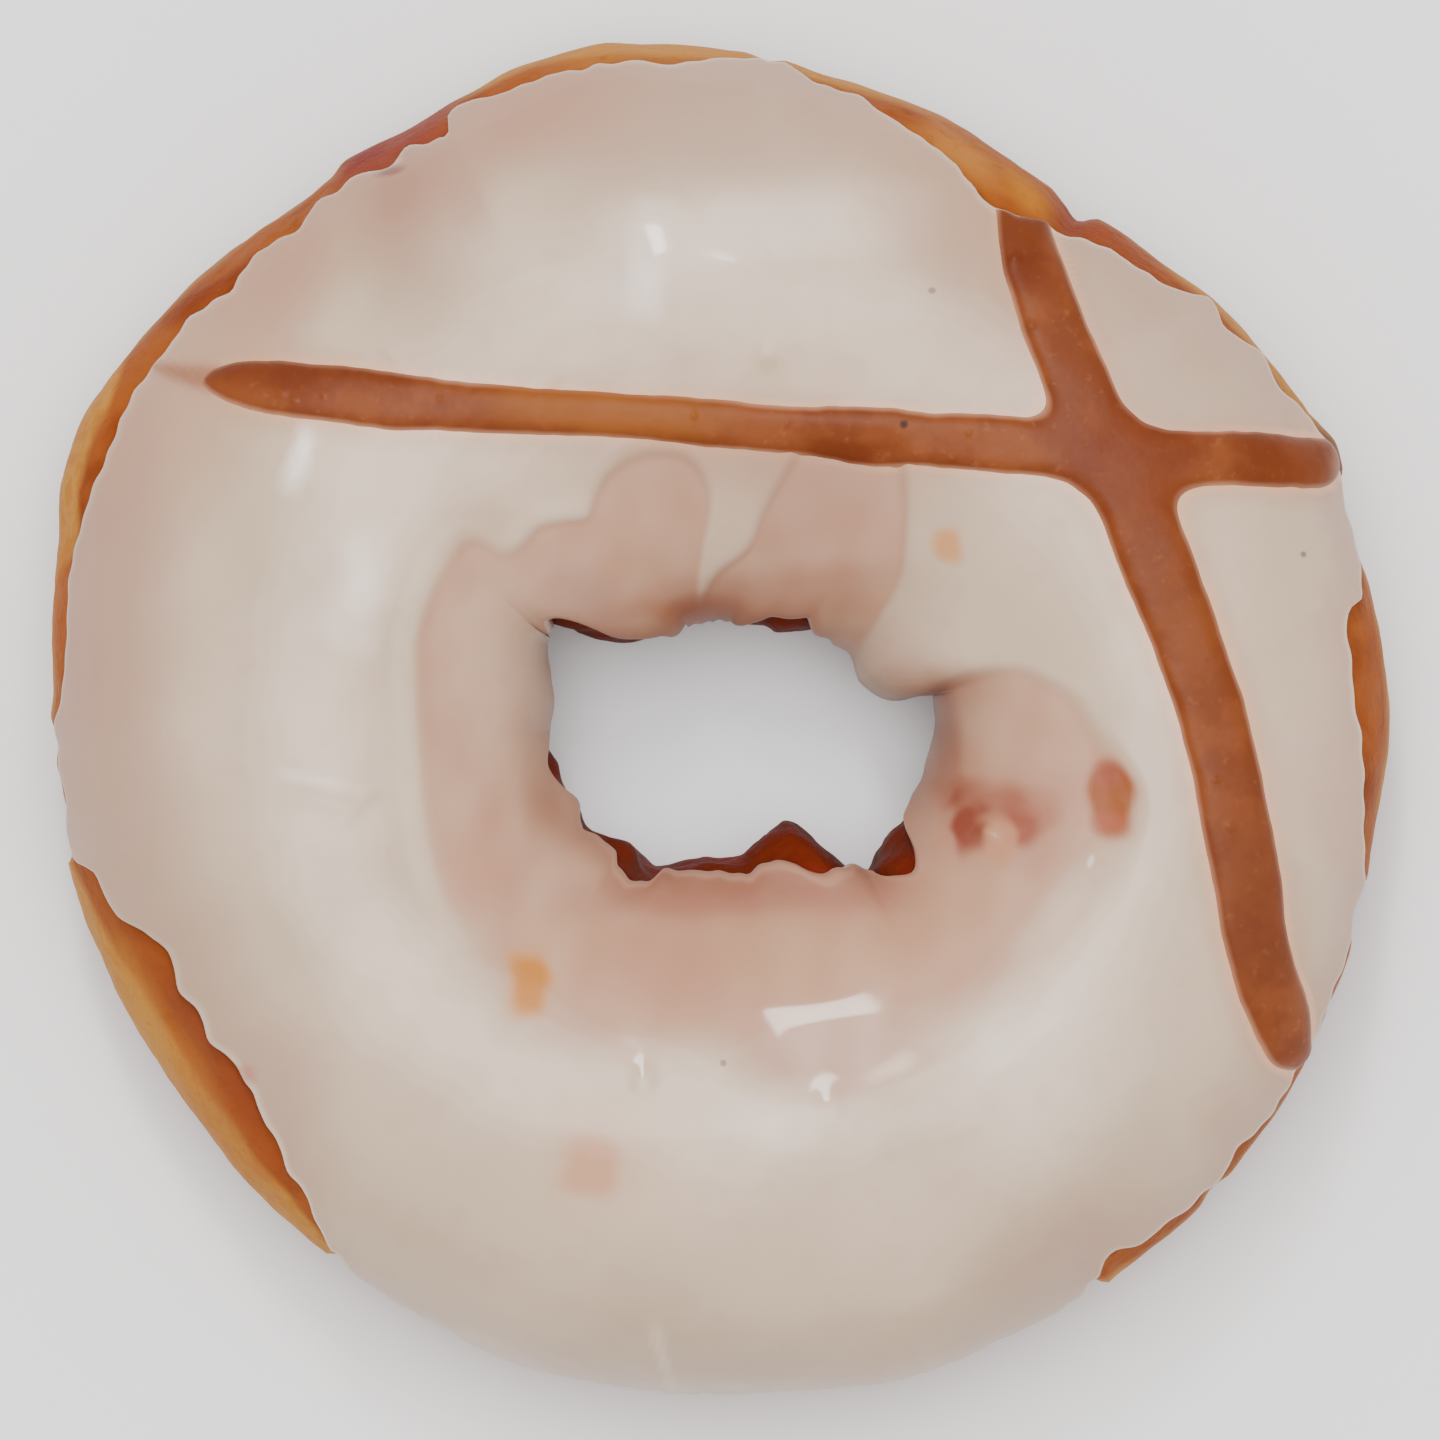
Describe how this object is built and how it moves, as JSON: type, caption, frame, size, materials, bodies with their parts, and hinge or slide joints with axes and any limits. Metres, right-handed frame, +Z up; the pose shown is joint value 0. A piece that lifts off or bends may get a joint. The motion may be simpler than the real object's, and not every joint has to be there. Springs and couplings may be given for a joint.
{
  "type": "fondant ring doughnut",
  "caption": "Ring doughnut with a flat foot, white fondant icing over its upper side and caramel lines piped across it.",
  "frame": {"origin": "centre of the bounding box's foot, on the surface that the doughnut lies on", "axes": "+Z up through the hole, +X towards the end of the caramel line that runs across, +Y towards the end where the other line starts"},
  "size_m": [0.0955, 0.0968, 0.0318],
  "materials": {
    "dough": "soft fried dough, orange-brown and slightly shiny above and below, with a paler golden band round the waist",
    "fondant_icing": "glossy set sugar icing, warm white and slightly translucent, pinker where it is thin round the hole, with satin caramel-brown lines on it"
  },
  "bodies": {
    "root": {"dough": "dough", "fondant_icing": "fondant_icing"}
  },
  "joints": []
}
